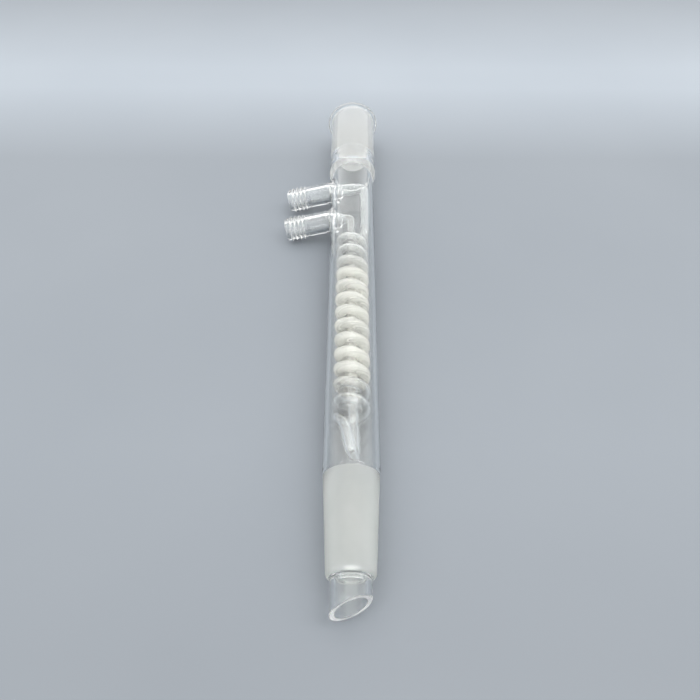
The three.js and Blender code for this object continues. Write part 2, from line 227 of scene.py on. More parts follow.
class Nodes:
    """A material's node tree, filled in step by step."""

    def __init__(self, name):
        self.material = bpy.data.materials.new(name)
        self.material.use_nodes = True
        self.tree = self.material.node_tree
        self.tree.nodes.clear()
        self.output = self.add("ShaderNodeOutputMaterial")

    def add(self, kind, **values):
        node = self.tree.nodes.new(kind)
        for key, value in values.items():
            setattr(node, key, value)
        return node

    def link(self, source, target):
        self.tree.links.new(source, target)

    def place_on(self, axis):
        """Where a point is on one of the scene's axes, in metres."""
        where = self.add("ShaderNodeTexCoord")
        split = self.add("ShaderNodeSeparateXYZ")
        self.link(where.outputs["Object"], split.inputs[0])
        return split.outputs[axis]

    def along(self, across, length):
        """Coordinates stretched along the condenser, in cycles per metre."""
        where = self.add("ShaderNodeTexCoord")
        stretch = self.add("ShaderNodeMapping")
        stretch.inputs["Scale"].default_value = (across, length, across)
        self.link(where.outputs["Object"], stretch.inputs["Vector"])
        return stretch.outputs["Vector"]

    def noise(self, vector, scale=1.0, detail=2.0, rough=0.5):
        node = self.add("ShaderNodeTexNoise")
        node.inputs["Scale"].default_value = scale
        node.inputs["Detail"].default_value = detail
        node.inputs["Roughness"].default_value = rough
        self.link(vector, node.inputs["Vector"])
        return node.outputs["Fac"]

    def ramp(self, value, low_value, high_value, start=0.3, end=0.7):
        node = self.add("ShaderNodeMapRange")
        node.inputs["From Min"].default_value = start
        node.inputs["From Max"].default_value = end
        node.inputs["To Min"].default_value = low_value
        node.inputs["To Max"].default_value = high_value
        self.link(value, node.inputs["Value"])
        return node.outputs["Result"]

    def blend(self, value, first, second):
        """A colour between two, by a value from 0 to 1."""
        node = self.add("ShaderNodeMix", data_type="RGBA")
        colours = {"A": (*first, 1), "B": (*second, 1)}
        for socket in node.inputs:
            if socket.type == "RGBA":
                socket.default_value = colours[socket.name]
        self.link(value, node.inputs[0])
        return next(s for s in node.outputs if s.type == "RGBA")

    def reckon(self, operation, first, second):
        node = self.add("ShaderNodeMath", operation=operation)
        self.link(first, node.inputs[0])
        self.link(second, node.inputs[1])
        return node.outputs[0]

    def bump(self, height, strength, distance):
        node = self.add("ShaderNodeBump")
        node.inputs["Strength"].default_value = strength
        node.inputs["Distance"].default_value = distance
        self.link(height, node.inputs["Height"])
        return node.outputs["Normal"]

    def glass(self):
        node = self.add("ShaderNodeBsdfPrincipled")
        node.inputs["Transmission Weight"].default_value = 1.0
        node.inputs["IOR"].default_value = GLASS_IOR
        return node

    def layer(self, share, under, over):
        """Two shaders mixed. The share of the second is a number or another node's value."""
        node = self.add("ShaderNodeMixShader")
        if isinstance(share, float):
            node.inputs[0].default_value = share
        else:
            self.link(share, node.inputs[0])
        self.link(under.outputs[0], node.inputs[1])
        self.link(over.outputs[0], node.inputs[2])
        return node

    def surface(self, shader):
        self.link(shader.outputs[0], self.output.inputs["Surface"])
        return self.material


def clear_glass(name, first, second):
    """Drawn borosilicate tubing: faint long waves in the wall and a trace of green."""
    m = Nodes(name)
    glass = m.glass()
    draw = m.noise(m.along(260, 18), detail=1.0)
    cloud = m.noise(m.along(60, 30), detail=3.0)
    m.link(m.blend(m.ramp(cloud, 0, 1), first, second), glass.inputs["Base Color"])
    m.link(m.ramp(cloud, 0.0, 0.02), glass.inputs["Roughness"])
    m.link(m.bump(draw, 0.10, 0.0004), glass.inputs["Normal"])
    return m.surface(glass)


def ground_glass(name, first, second, white_share, rough):
    """Glass ground with fine abrasive: a grey-white bloom with faint lathe rings.

    The white share is the bloom's share of the look. The rest is rough glass that lets light
    through.
    """
    m = Nodes(name)
    frost = m.glass()
    bloom = m.add("ShaderNodeBsdfTranslucent")
    skin = m.add("ShaderNodeBsdfDiffuse")
    grain = m.noise(m.along(5200, 5200), detail=2.0, rough=0.7)
    rings = m.noise(m.along(14, 1500), detail=2.0)
    cloud = m.noise(m.along(90, 60), detail=3.0)
    colour = m.blend(m.ramp(cloud, 0, 1), first, second)
    m.link(colour, frost.inputs["Base Color"])
    m.link(colour, bloom.inputs["Color"])
    m.link(colour, skin.inputs["Color"])
    m.link(m.ramp(cloud, *rough), frost.inputs["Roughness"])
    relief = m.bump(m.reckon("ADD", grain, rings), 0.35, 0.00004)
    for shader in (frost, bloom, skin):
        m.link(relief, shader.inputs["Normal"])
    return m.surface(m.layer(white_share, frost, m.layer(0.5, bloom, skin)))


def glass_with_painted_glare(name, white_share):
    """Thin clear glass of the coil and its core, with a painted glare along their middle stretch.

    Cream-white diffuse and translucent layers are painted over a fixed stretch of height. They
    stand for the reflection of the overhead light in the many turns. The painted glare sets in at
    the low end of that stretch and thins out around its high end. The share given is its share of
    the look on its densest lines. Between them it is half of that.
    """
    m = Nodes(name)
    glass = m.glass()
    cloud = m.noise(m.along(120, 60), detail=3.0)
    lines = m.noise(m.along(25, 1000), detail=2.0)
    tint = m.blend(m.ramp(cloud, 0, 1), (0.985, 0.992, 0.985), (0.995, 0.998, 0.995))
    m.link(tint, glass.inputs["Base Color"])
    m.link(m.ramp(cloud, 0.0, 0.03), glass.inputs["Roughness"])
    m.link(m.bump(lines, 0.4, 0.0003), glass.inputs["Normal"])
    skin = m.add("ShaderNodeBsdfDiffuse")
    inner = m.add("ShaderNodeBsdfTranslucent")
    cream = m.blend(m.ramp(cloud, 0, 1), (0.97, 0.965, 0.925), (0.99, 0.985, 0.955))
    m.link(cream, skin.inputs["Color"])
    m.link(cream, inner.inputs["Color"])
    # The painted glare is laid on by height in the scene, over the stretch where the overhead light
    # is reflected.
    along = m.place_on("Y")
    zero = float(offset[1])
    low_end = zero + PAINTED_GLARE_START * MM
    high_end = zero + PAINTED_GLARE_END * MM
    ease = PAINTED_GLARE_EASE * MM
    rise = m.ramp(along, 0.0, 1.0, low_end, low_end + ease)
    fall = m.ramp(along, 1.0, PAINTED_GLARE_REST, high_end - ease, high_end + ease)
    stretch = m.reckon("MULTIPLY", rise, fall)
    share = m.reckon("MULTIPLY", stretch, m.ramp(lines, white_share * 0.5, white_share, 0.38, 0.56))
    return m.surface(m.layer(share, glass, m.layer(0.6, skin, inner)))


def fused_glass(name):
    """The inside of a fused joint, where two lengths of glass are one: light passes straight on."""
    m = Nodes(name)
    return m.surface(m.add("ShaderNodeBsdfTransparent"))


CLEAR = clear_glass("clear_glass", (0.975, 0.99, 0.985), (0.985, 0.995, 0.995))
# The coil's glass, its bore and the core carry a painted cream-white glare of the overhead light.
COIL_GLASS_WITH_PAINTED_GLARE = glass_with_painted_glare("coil_glass", 0.5)
PAINTED_GLARE_BORE = glass_with_painted_glare("painted_glare_bore", 0.95)
CORE_GLASS_WITH_PAINTED_GLARE = glass_with_painted_glare("core_glass", 0.8)
GROUND = ground_glass("ground_glass", (0.75, 0.775, 0.75), (0.82, 0.835, 0.815),
                      white_share=0.27, rough=(0.5, 0.65))
GROUND_BORE = ground_glass("ground_bore", (0.80, 0.81, 0.80), (0.85, 0.855, 0.85),
                           white_share=0.55, rough=(0.75, 0.9))
# The thread crests: a whitish ground finish that paints in the highlight the crests catch.
CREST_PAINTED_HIGHLIGHT = ground_glass("crest_painted_highlight", (0.93, 0.94, 0.93), (0.97, 0.975, 0.97),
                     white_share=0.3, rough=(0.12, 0.25))
FUSED = fused_glass("fused_glass")

# ---------------------------------------------------------------- mesh helpers


def finish_mesh(name, vertices, faces, face_materials, materials, slot, *nodes):
    """Makes a smooth closed piece of these faces, and hides the solids it stands for."""
    mesh = bpy.data.meshes.new(name)
    mesh.from_pydata([tuple(v) for v in place(vertices)], [], faces)
    for material in materials:
        mesh.materials.append(material)
    mesh.polygons.foreach_set("material_index", np.asarray(face_materials, np.int32))
    tidy = bmesh.new()
    tidy.from_mesh(mesh)
    bmesh.ops.remove_doubles(tidy, verts=tidy.verts, dist=WELD)
    bmesh.ops.recalc_face_normals(tidy, faces=tidy.faces)
    tidy.to_mesh(mesh)
    tidy.free()
    mesh.shade_smooth()
    mesh.set_sharp_from_angle(angle=SHARP)
    piece = bpy.data.objects.new(name, mesh)
    bpy.context.scene.collection.objects.link(piece)
    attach(piece, "root")
    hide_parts(*nodes)


def looped(name, grid, loop_materials, materials, slot, *nodes):
    """A ring-shaped piece: grid[k][j] is point j of the closed section at turn k.

    The materials are given for one section, or for every one of them.
    """
    grid = np.asarray(grid, float)
    turns, count = grid.shape[:2]
    loop_materials = np.broadcast_to(loop_materials, (turns, count))
    faces, kinds = [], []
    for k in range(turns):
        after = (k + 1) % turns
        for j in range(count):
            up = (j + 1) % count
            faces.append((k * count + j, after * count + j, after * count + up, k * count + up))
            kinds.append(loop_materials[k][j])
    finish_mesh(name, grid.reshape(-1, 3), faces, kinds, materials, slot, *nodes)


def smooth(share):
    """A share from 0 to 1 that starts and ends gently."""
    return share * share * (3 - 2 * share)


def line(a, b, steps):
    a, b = np.array(a), np.array(b)
    return [tuple(a + (b - a) * i / steps) for i in range(steps + 1)]


def curve(a, pull, b, steps):
    """A quadratic curve from a to b."""
    a, pull, b = map(np.array, (a, pull, b))
    points = []
    for i in range(steps + 1):
        t = i / steps
        points.append(tuple(a * (1 - t) ** 2 + pull * 2 * t * (1 - t) + b * t * t))
    return points


def arc(middle, radius, start, end, steps):
    """Points on a circle, its angles in degrees."""
    angles = [math.radians(start + (end - start) * i / steps) for i in range(steps + 1)]
    return [(middle[0] + radius * math.cos(a), middle[1] + radius * math.sin(a)) for a in angles]


class Outline:
    """A closed section of (radius, height), with a material for each stretch of it."""

    def __init__(self):
        self.points = []
        self.kinds = []

    def go(self, points, kind):
        """Adds a stretch. It starts where the last one ended."""
        if self.points:
            points = points[1:]
            self.points += points
            self.kinds += [kind] * len(points)
        else:
            self.points += points
            self.kinds += [kind] * (len(points) - 1)

    def close(self, kind):
        self.kinds.append(kind)
        first, last = np.array(self.points[0]), np.array(self.points[-1])
        if np.linalg.norm(first - last) < 1e-6:
            self.points.pop()
            self.kinds.pop()

    def turned(self, sides=ROUND):
        angles = 2 * math.pi * np.arange(sides) / sides
        radius = np.array([p[0] for p in self.points])
        height = np.array([p[1] for p in self.points])
        x = np.cos(angles)[:, None] * radius
        z = np.sin(angles)[:, None] * radius
        return np.stack([x, np.broadcast_to(height, x.shape), z], -1)


# ---------------------------------------------------------------- cone and drip tip

GLASS, OTHER = 0, 1           # material places: the visible glass, then a second finish
SEAM = 2                      # and the fused faces

bore_narrow = JOINT_NARROW_R - CONE_WALL
drip_bore = DRIP_R - DRIP_WALL
lip_outer = THROAT_R + THROAT_LIP
lip_end = CONE_END - THROAT_DROP
floor_y = -(JOINT_LENGTH - CONE_WALL / 2)
foot_of_wall = (bore_narrow + 0.15, floor_y + 3)
throat_top = (THROAT_R, CONE_END + 0.6)
floor_edge = (THROAT_R + 1.6, CONE_END + 2.3)
tip_root = (DRIP_R + 0.7, CONE_END)
lip_root = (lip_outer + 0.5, CONE_END)

cone = Outline()
cone.go(line((JOINT_WIDE_R, 0), (JOINT_NARROW_R, -JOINT_LENGTH), 60), OTHER)
cone.go(curve((JOINT_NARROW_R, -JOINT_LENGTH), (JOINT_NARROW_R - 0.05, CONE_END + 0.3),
              tip_root, 10), OTHER)
cone.go(curve(tip_root, (DRIP_R, CONE_END), (DRIP_R, TIP_TOP), 6), GLASS)
cone.go([(DRIP_R, TIP_TOP), (drip_bore, TIP_TOP)], SEAM)
cone.go(curve((drip_bore, TIP_TOP), (drip_bore, CONE_END), lip_root, 6), GLASS)
cone.go(curve(lip_root, (lip_outer, CONE_END), (lip_outer, CONE_END - 0.5), 6), GLASS)
cone.go(arc((THROAT_R + THROAT_LIP / 2, lip_end + THROAT_LIP / 2), THROAT_LIP / 2,
            0, -180, 12), GLASS)
cone.go(line((THROAT_R, lip_end + THROAT_LIP / 2), throat_top, 4), GLASS)
cone.go(curve(throat_top, (THROAT_R, CONE_END + 1.9), floor_edge, 8), GLASS)
cone.go(curve(floor_edge, (bore_narrow - 0.1, floor_y - 0.5), foot_of_wall, 10), GLASS)
cone.go(line(foot_of_wall, (JOINT_WIDE_R - CONE_WALL, 0), 30), GLASS)
cone.close(SEAM)
looped("cone_glass", cone.turned(), cone.kinds, [CLEAR, GROUND, FUSED],
       "ground_glass", "cone_joint")


def bevel_y(radius, turn):
    return CONE_END - DRIP_LENGTH - BEVEL_SLOPE * radius * np.cos(turn - BEVEL_TURN)


# Its heights are 0 at the cut and 1 at the cone, and below 0 they are millimetres.
tip = Outline()
tip.go(line((DRIP_R, 1), (DRIP_R, 0), 30), GLASS)
tip.go(arc((DRIP_R - BEVEL_ROUND, 0), BEVEL_ROUND, 0, -90, 5), GLASS)
tip.go(line((DRIP_R - BEVEL_ROUND, -BEVEL_ROUND), (drip_bore + BEVEL_ROUND, -BEVEL_ROUND), 6),
       OTHER)
tip.go(arc((drip_bore + BEVEL_ROUND, 0), BEVEL_ROUND, -90, -180, 5), GLASS)
tip.go(line((drip_bore, 0), (drip_bore, 1), 30), GLASS)
tip.close(SEAM)
tip_turns = 2 * math.pi * np.arange(ROUND) / ROUND
tip_radius = np.array([p[0] for p in tip.points])
tip_share = np.array([p[1] for p in tip.points])
cut = bevel_y(tip_radius[None, :], tip_turns[:, None]) + BEVEL_ROUND
tip_y = np.where(tip_share > 0, cut + (TIP_TOP - cut) * tip_share, cut + tip_share)
tip_grid = np.stack([np.cos(tip_turns)[:, None] * tip_radius, tip_y,
                     np.sin(tip_turns)[:, None] * tip_radius], -1)
CUT = ground_glass("cut_glass", (0.74, 0.75, 0.77), (0.80, 0.81, 0.83),
                   white_share=0.55, rough=(0.25, 0.4))
looped("drip_glass", tip_grid, tip.kinds, [CLEAR, CUT, FUSED], "clear_glass", "drip_tip")

# ---------------------------------------------------------------- shoulder and socket

shoulder = Outline()
widest = JACKET_LENGTH + SHOULDER_WIDEST * SHOULDER_LENGTH
shoulder.go(curve((JACKET_R, JACKET_LENGTH), (SHOULDER_R, (JACKET_LENGTH + widest) / 2),
                  (SHOULDER_R, widest), 16), GLASS)
shoulder.go(curve((SHOULDER_R, widest), (SHOULDER_R, (widest + SHOULDER_END) / 2),
                  (SOCKET_R, SHOULDER_END), 16), GLASS)
shoulder.go([(SOCKET_R, SHOULDER_END), (JOINT_NARROW_R, SHOULDER_END)], SEAM)
shoulder.go(line((JOINT_NARROW_R, SHOULDER_END), (JACKET_BORE_R, JACKET_LENGTH), 20), GLASS)
shoulder.close(SEAM)
looped("shoulder_glass", shoulder.turned(), shoulder.kinds, [CLEAR, GROUND, FUSED],
       "clear_glass", "shoulder")

socket = Outline()
neck = SOCKET_TOP - RIM_FLARE
bead_y = SOCKET_TOP - RIM_BEAD
mouth_r = JOINT_WIDE_R + RIM_MOUTH
socket.go(line((SOCKET_R, SHOULDER_END), (SOCKET_R, neck), 30), GLASS)
socket.go(curve((SOCKET_R, neck), (SOCKET_R, bead_y - RIM_BEAD / 2), (RIM_R, bead_y), 14), GLASS)
socket.go(arc((RIM_R - RIM_BEAD, bead_y), RIM_BEAD, 0, 90, 14), GLASS)
socket.go(line((RIM_R - RIM_BEAD, SOCKET_TOP), (mouth_r, SOCKET_TOP), 3), GLASS)
bore_top = (JOINT_WIDE_R, SOCKET_TOP - RIM_MOUTH)
socket.go(curve((mouth_r, SOCKET_TOP), (JOINT_WIDE_R + 0.1, SOCKET_TOP), bore_top, 6), GLASS)
socket.go(line(bore_top, (JOINT_NARROW_R, GROUND_START), 50), OTHER)
socket.go(line((JOINT_NARROW_R, GROUND_START), (JOINT_NARROW_R, SHOULDER_END), 8), GLASS)
socket.close(SEAM)
looped("socket_glass", socket.turned(), socket.kinds, [CLEAR, GROUND_BORE, FUSED],
       "socket_glass", "socket_joint")

# ---------------------------------------------------------------- where an arm meets the jacket

# An arm's section is a plane square to the arm: cos runs up the condenser and sin across it.
ARM_OUT = np.array([-math.cos(ARM_LEAN), -math.sin(ARM_LEAN), 0])
ARM_UP = np.array([-math.sin(ARM_LEAN), math.cos(ARM_LEAN), 0])
CROSS_IN = np.array([math.cos(CROSS_LEAN), -math.sin(CROSS_LEAN), 0])
CROSS_UP = np.array([math.sin(CROSS_LEAN), math.cos(CROSS_LEAN), 0])
ACROSS = np.array([0, 0, 1.0])


def out_at(height, radius, turn, along):
    """A point of an arm, at these distances from its axis and from its root."""
    return (np.array([-JACKET_R, height, 0]) + ARM_OUT * along
            + radius * (math.cos(turn) * ARM_UP + math.sin(turn) * ACROSS))


def in_at(height, radius, turn, along):
    """A point of a crossing tube, counted the same way but into the jacket."""
    return (np.array([-JACKET_R, height, 0]) + CROSS_IN * along
            + radius * (math.cos(turn) * CROSS_UP + math.sin(turn) * ACROSS))


def outer_foot(radius, turn):
    """How far along the arm the jacket's outside lies."""
    reach = math.sqrt(JACKET_R ** 2 - (radius * math.sin(turn)) ** 2)
    return (reach - JACKET_R - math.sin(ARM_LEAN) * radius * math.cos(turn)) / math.cos(ARM_LEAN)


def inner_foot(radius, turn):
    """How far along the crossing tube the jacket's inside lies."""
    reach = math.sqrt(JACKET_BORE_R ** 2 - (radius * math.sin(turn)) ** 2)
    lean = math.sin(CROSS_LEAN) * radius * math.cos(turn)
    return (JACKET_R - reach - lean) / math.cos(CROSS_LEAN)


ROOT_R = ARM_R + ARM_FILLET
INSIDE_R = CROSS_R + SEAL_FLARE
BULB_R = CROSS_R + SEAL_LIP

# ---------------------------------------------------------------- jacket

column_step = 2 * math.pi / ROUND


def jacket_rows():
    """The heights of the jacket's grid. They are closer together at the neck and the arms."""
    ends = [(0, 1), (NECK_LENGTH, 7), (LOWER_ARM_Y - WINDOW_HALF, 50),
            (LOWER_ARM_Y + WINDOW_HALF, WINDOW_ROWS + 1), (UPPER_ARM_Y - WINDOW_HALF, 4),
            (UPPER_ARM_Y + WINDOW_HALF, WINDOW_ROWS + 1)]
    rows = [0.0]
    for (start, _), (end, count) in zip(ends, ends[1:]):
        rows += list(np.linspace(start, end, count))[1:]
    return rows + [JACKET_LENGTH]


def wall_radius(plain, neck_r, y):
    """The jacket's radius at a height, drawn in to the cone at its low end."""
    return neck_r + (plain - neck_r) * smooth(min(max(y / NECK_LENGTH, 0), 1))


def on_wall(plain, neck_r, turn, y):
    """A point of the jacket. The turn is counted from the arms, the same way as an arm's own."""
    radius = wall_radius(plain, neck_r, y)
    return (-radius * math.cos(turn), y, radius * math.sin(turn))


def border(height):
    """The grid points round an arm's window, in order, as (turn, height)."""
    half = WINDOW_COLUMNS * column_step
    rows = np.linspace(height - WINDOW_HALF, height + WINDOW_HALF, WINDOW_ROWS + 1)
    columns = np.linspace(-half, half, 2 * WINDOW_COLUMNS + 1)
    ring = [(c, rows[-1]) for c in columns[:-1]]
    ring += [(half, r) for r in rows[::-1][:-1]]
    ring += [(c, rows[0]) for c in columns[::-1][:-1]]
    ring += [(-half, r) for r in rows[:-1]]
    return ring


def spokes(height):
    """The turns, in an arm's own section, at which its root meets the window's points."""
    return [math.atan2(turn * JACKET_R, y - height) for turn, y in border(height)]


def build_jacket():
    rows = jacket_rows()
    vertices, faces, kinds = [], [], []

    def quad(points, kind):
        start = len(vertices)
        vertices.extend(points)
        faces.append(tuple(range(start, start + 4)))
        kinds.append(kind)

    def in_window(column, low_row, high_row):
        centre = (column + 0.5) if column < ROUND / 2 else (column + 0.5 - ROUND)
        middle = (low_row + high_row) / 2
        return abs(centre) < WINDOW_COLUMNS and any(
            abs(middle - h) < WINDOW_HALF for h in (UPPER_ARM_Y, LOWER_ARM_Y))

    skins = ((JACKET_R, JOINT_WIDE_R), (JACKET_BORE_R, JOINT_WIDE_R - CONE_WALL))
    for plain, neck_r in skins:
        for low_row, high_row in zip(rows, rows[1:]):
            for column in range(ROUND):
                if in_window(column, low_row, high_row):
                    continue
                a, b = column * column_step, (column + 1) * column_step
                corners = ((a, low_row), (b, low_row), (b, high_row), (a, high_row))
                quad([on_wall(plain, neck_r, *corner) for corner in corners], GLASS)
    for y in (rows[0], rows[-1]):
        for column in range(ROUND):
            a, b = column * column_step, (column + 1) * column_step
            quad([on_wall(*skins[0], a, y), on_wall(*skins[0], b, y),
                  on_wall(*skins[1], b, y), on_wall(*skins[1], a, y)], SEAM)

    for height in (UPPER_ARM_Y, LOWER_ARM_Y):
        edge = border(height)
        turns = spokes(height)
        feet = []
        for (plain, neck_r), outer in zip(skins, (True, False)):
            rings = []
            for step in range(ROOT_STEPS + 1):
                share = step / ROOT_STEPS
                ring = []
                for (turn, y), spoke in zip(edge, turns):
                    if outer:
                        foot = out_at(height, ROOT_R, spoke, outer_foot(ROOT_R, spoke))
                    else:
                        foot = in_at(height, INSIDE_R, spoke, inner_foot(INSIDE_R, spoke))
                    foot_turn = math.asin(foot[2] / plain)
                    if step == ROOT_STEPS:
                        ring.append(tuple(foot))
                    else:
                        ring.append(on_wall(plain, neck_r, turn + (foot_turn - turn) * share,
                                            y + (foot[1] - y) * share))
                rings.append(ring)
            for ring, inward in zip(rings, rings[1:]):
                for i in range(len(ring)):
                    j = (i + 1) % len(ring)
                    quad([ring[i], ring[j], inward[j], inward[i]], GLASS)
            feet.append(rings[-1])
        for i in range(len(edge)):
            j = (i + 1) % len(edge)
            quad([feet[0][i], feet[0][j], feet[1][j], feet[1][i]], SEAM)
    finish_mesh("jacket_glass", np.array(vertices), faces, kinds, [CLEAR, GROUND, FUSED],
                "clear_glass", "jacket_tube")


build_jacket()

# ---------------------------------------------------------------- hose arms and ring seals


def ridge(along, turn):
    """Height of the moulded thread: one helix, fading in and out at its ends."""
    length = THREAD_RIDGES * THREAD_PITCH
    start = ARM_LENGTH - THREAD_END - length
    phase = ((along - start) / THREAD_PITCH - turn / (2 * math.pi)) % 1.0
    crest = math.cos(math.pi * min(max((phase - 0.5) / RIDGE_WIDTH, -0.5), 0.5)) ** 2
    fade_in = min(max((along - start) / THREAD_PITCH, 0), 1)
    fade_out = min(max((start + length - along) / (0.6 * THREAD_PITCH), 0), 1)
    return THREAD_DEPTH * (fade_in * fade_out) * crest


def face_radii():
    """The radii of the fused face at an arm's root, from its bore out to short of its edge."""
    return [ARM_BORE_R + (ROOT_R - ARM_BORE_R) * i / FACE_STEPS for i in range(FACE_STEPS)]


def build_arm(level, height):
    grid, all_kinds = [], []
    thread_start = ARM_LENGTH - THREAD_END - THREAD_RIDGES * THREAD_PITCH
    for turn in spokes(height):
        section, kinds = [], []

        def add(radius, along, kind):
            section.append(out_at(height, radius, turn, along))
            kinds.append(kind)

        for i in range(FILLET_STEPS + 1):
            angle = math.pi / 2 * i / FILLET_STEPS
            radius = ROOT_R - ARM_FILLET * math.sin(angle)
            add(radius, outer_foot(radius, turn) + ARM_FILLET * (1 - math.cos(angle)), GLASS)
        bare_start = outer_foot(ARM_R, turn) + ARM_FILLET
        for i in range(1, BARE_STEPS):
            along = bare_start + (thread_start - bare_start) * i / BARE_STEPS
            past = (along - bare_start + ARM_FILLET - ARM_BEAD_AT) / ARM_BEAD_LENGTH
            start_fade = min(1.0, (along - bare_start) / ARM_BEAD_LENGTH)
            add(ARM_R + ARM_BEAD * start_fade * math.exp(-past * past), along, GLASS)
        for i in range(THREAD_STEPS + 1):
            along = thread_start + (ARM_LENGTH - FIRE_ROUND - thread_start) * i / THREAD_STEPS
            rise = ridge(along, turn)
            # Crests above that share take the whitish finish, a painted highlight.
            add(ARM_R + rise, along, OTHER if rise > CREST_SHARE * THREAD_DEPTH else GLASS)
        for i in range(1, FIRE_STEPS + 1):
            angle = math.pi / 2 * i / FIRE_STEPS
            add(ARM_R - FIRE_ROUND * (1 - math.cos(angle)),
                ARM_LENGTH - FIRE_ROUND * (1 - math.sin(angle)), GLASS)
        for i in range(FIRE_STEPS + 1):
            angle = math.pi / 2 * i / FIRE_STEPS
            add(ARM_BORE_R + FIRE_ROUND * (1 - math.sin(angle)),
                ARM_LENGTH - FIRE_ROUND * (1 - math.cos(angle)), GLASS)
        bore_start = ARM_LENGTH - FIRE_ROUND
        bore_run = outer_foot(ARM_BORE_R, turn) + FIRE_ROUND - ARM_LENGTH
        for i in range(1, BORE_STEPS):
            add(ARM_BORE_R, bore_start + bore_run * i / BORE_STEPS, GLASS)
        for radius in face_radii():
            add(radius, outer_foot(radius, turn), SEAM)
        grid.append(section)
        all_kinds.append(kinds)
    looped(f"{level}_arm_glass", grid, all_kinds, [CLEAR, CREST_PAINTED_HIGHLIGHT, FUSED],
           "clear_glass", f"{level}_hose_arm")


def build_seal(level, height):
    """The ring seal: it fills the hole in the jacket's wall and flares in to the crossing tube."""
    grid = []
    end = JACKET_WALL + SEAL_LENGTH
    for turn in spokes(height):
        section, kinds = [], []

        def add(point, kind):
            section.append(point)
            kinds.append(kind)

        for radius in [*face_radii(), ROOT_R]:
            add(out_at(height, radius, turn, outer_foot(radius, turn)), SEAM)
        foot = inner_foot(INSIDE_R, turn)
        waist = inner_foot(BULB_R, turn) + 1.2
        flare = curve((INSIDE_R, foot), (BULB_R - 0.35, foot + 0.2), (BULB_R - 0.25, waist), 10)
        bulb = end - SEAL_LIP
        belly = curve((BULB_R - 0.25, waist), (BULB_R - 0.2, (waist + bulb) / 2), (BULB_R, bulb), 6)
        nose = arc((CROSS_R, bulb), SEAL_LIP, 0, 90, 12)
        for radius, along in flare[:-1] + belly[:-1] + nose[:-1]:
            add(in_at(height, radius, turn, along), GLASS)
        add(in_at(height, CROSS_R, turn, end), SEAM)
        bore_start = out_at(height, ARM_BORE_R, turn, outer_foot(ARM_BORE_R, turn))
        for i in range(SEAL_STEPS):
            share = i / SEAL_STEPS
            radius = CROSS_BORE_R + (ARM_BORE_R - CROSS_BORE_R) * smooth(share)
            point = in_at(height, radius, turn, end * (1 - share))
            blend = share ** 3
            add(point * (1 - blend) + bore_start * blend, GLASS)
        grid.append(section)
    looped(f"{level}_seal_glass", grid, kinds, [CLEAR, GROUND, FUSED],
           "clear_glass", f"{level}_ring_seal")


for level, height in (("upper", UPPER_ARM_Y), ("lower", LOWER_ARM_Y)):
    build_arm(level, height)
    build_seal(level, height)

# ---------------------------------------------------------------- inner tubes


def bezier(a, b, c, d, steps):
    """A cubic curve, without its first point."""
    a, b, c, d = map(np.array, (a, b, c, d))
    points = []
    for i in range(1, steps + 1):
        t = i / steps
        points.append(a * (1 - t) ** 3 + b * 3 * t * (1 - t) ** 2
                      + c * 3 * t * t * (1 - t) + d * t ** 3)
    return points


def toward(a, b, distance):
    a, b = np.array(a, float), np.array(b, float)
    return a + (b - a) / np.linalg.norm(b - a) * distance


def bent(corners, bend, spacing=1.0):
    """Straight runs through these corners, each rounded to the bend."""
    corners = [np.array(c, float) for c in corners]
    points = [corners[0]]
    start = corners[0]

    def run(a, b):
        steps = max(1, int(np.linalg.norm(b - a) / spacing))
        points.extend(a + (b - a) * i / steps for i in range(1, steps + 1))

    for i in range(1, len(corners) - 1):
        corner = corners[i]
        enter = toward(corner, start, bend)
        leave = toward(corner, corners[i + 1], bend)
        run(start, enter)
        points.extend(bezier(enter, enter + (corner - enter) * QUARTER_HANDLE,
                             leave + (corner - leave) * QUARTER_HANDLE, leave, BEND_STEPS))
        start = leave
    run(start, corners[-1])
    return points


def sweep(name, path, outer_r, bore_r, materials, slot, *nodes):
    """A hollow tube along a path. Both radii are given at each point of it.

    The two materials are the outside's and the bore's.
    """
    path = np.array(path)
    count = len(path)
    outer_r = np.broadcast_to(outer_r, count)
    bore_r = np.broadcast_to(bore_r, count)
    tangents = np.gradient(path, axis=0)
    tangents /= np.linalg.norm(tangents, axis=1)[:, None]
    side = np.cross(tangents[0], (0.3, 0.2, 0.9))    # any way but the path's first
    side /= np.linalg.norm(side)
    sides = [side]
    for t in tangents[1:]:
        side = side - t * np.dot(side, t)
        side /= np.linalg.norm(side)
        sides.append(side)
    sides = np.array(sides)
    ups = np.cross(tangents, sides)
    angles = 2 * math.pi * np.arange(TUBE_SIDES) / TUBE_SIDES
    grid = []
    for a in angles:
        spoke = sides * math.cos(a) + ups * math.sin(a)
        outer = path + spoke * outer_r[:, None]
        inner = path + spoke * bore_r[:, None]
        grid.append(np.vstack([outer, inner[::-1]]))
    kinds = [GLASS] * (count - 1) + [SEAM] + [OTHER] * (count - 1) + [SEAM]
    looped(name, grid, kinds, [*materials, FUSED], slot, *nodes)


def crossing_at(height, x):
    return np.array([x, height - (x + JACKET_R) * math.tan(CROSS_LEAN), 0])


def eased(count, first, last, from_share, to_share):
    """A radius that changes from one value to another between two shares of a path."""
    share = np.clip((np.linspace(0, 1, count) - from_share) / (to_share - from_share), 0, 1)
    return first + (last - first) * smooth(share)


def build_cross(level, height, end, next_r, next_bore_r):
    start = in_at(height, 0, 0, JACKET_WALL + SEAL_LENGTH)
    path = [start + (end - start) * i / CROSS_STEPS for i in range(CROSS_STEPS + 1)]
    taper = 1 - CROSS_TAPER / np.linalg.norm(end - start)
    sweep(f"{level}_cross_glass", path, eased(len(path), CROSS_R, next_r, taper, 1),
          eased(len(path), CROSS_BORE_R, next_bore_r, taper, 1), (CLEAR, CLEAR),
          "clear_glass", f"{level}_cross_tube")


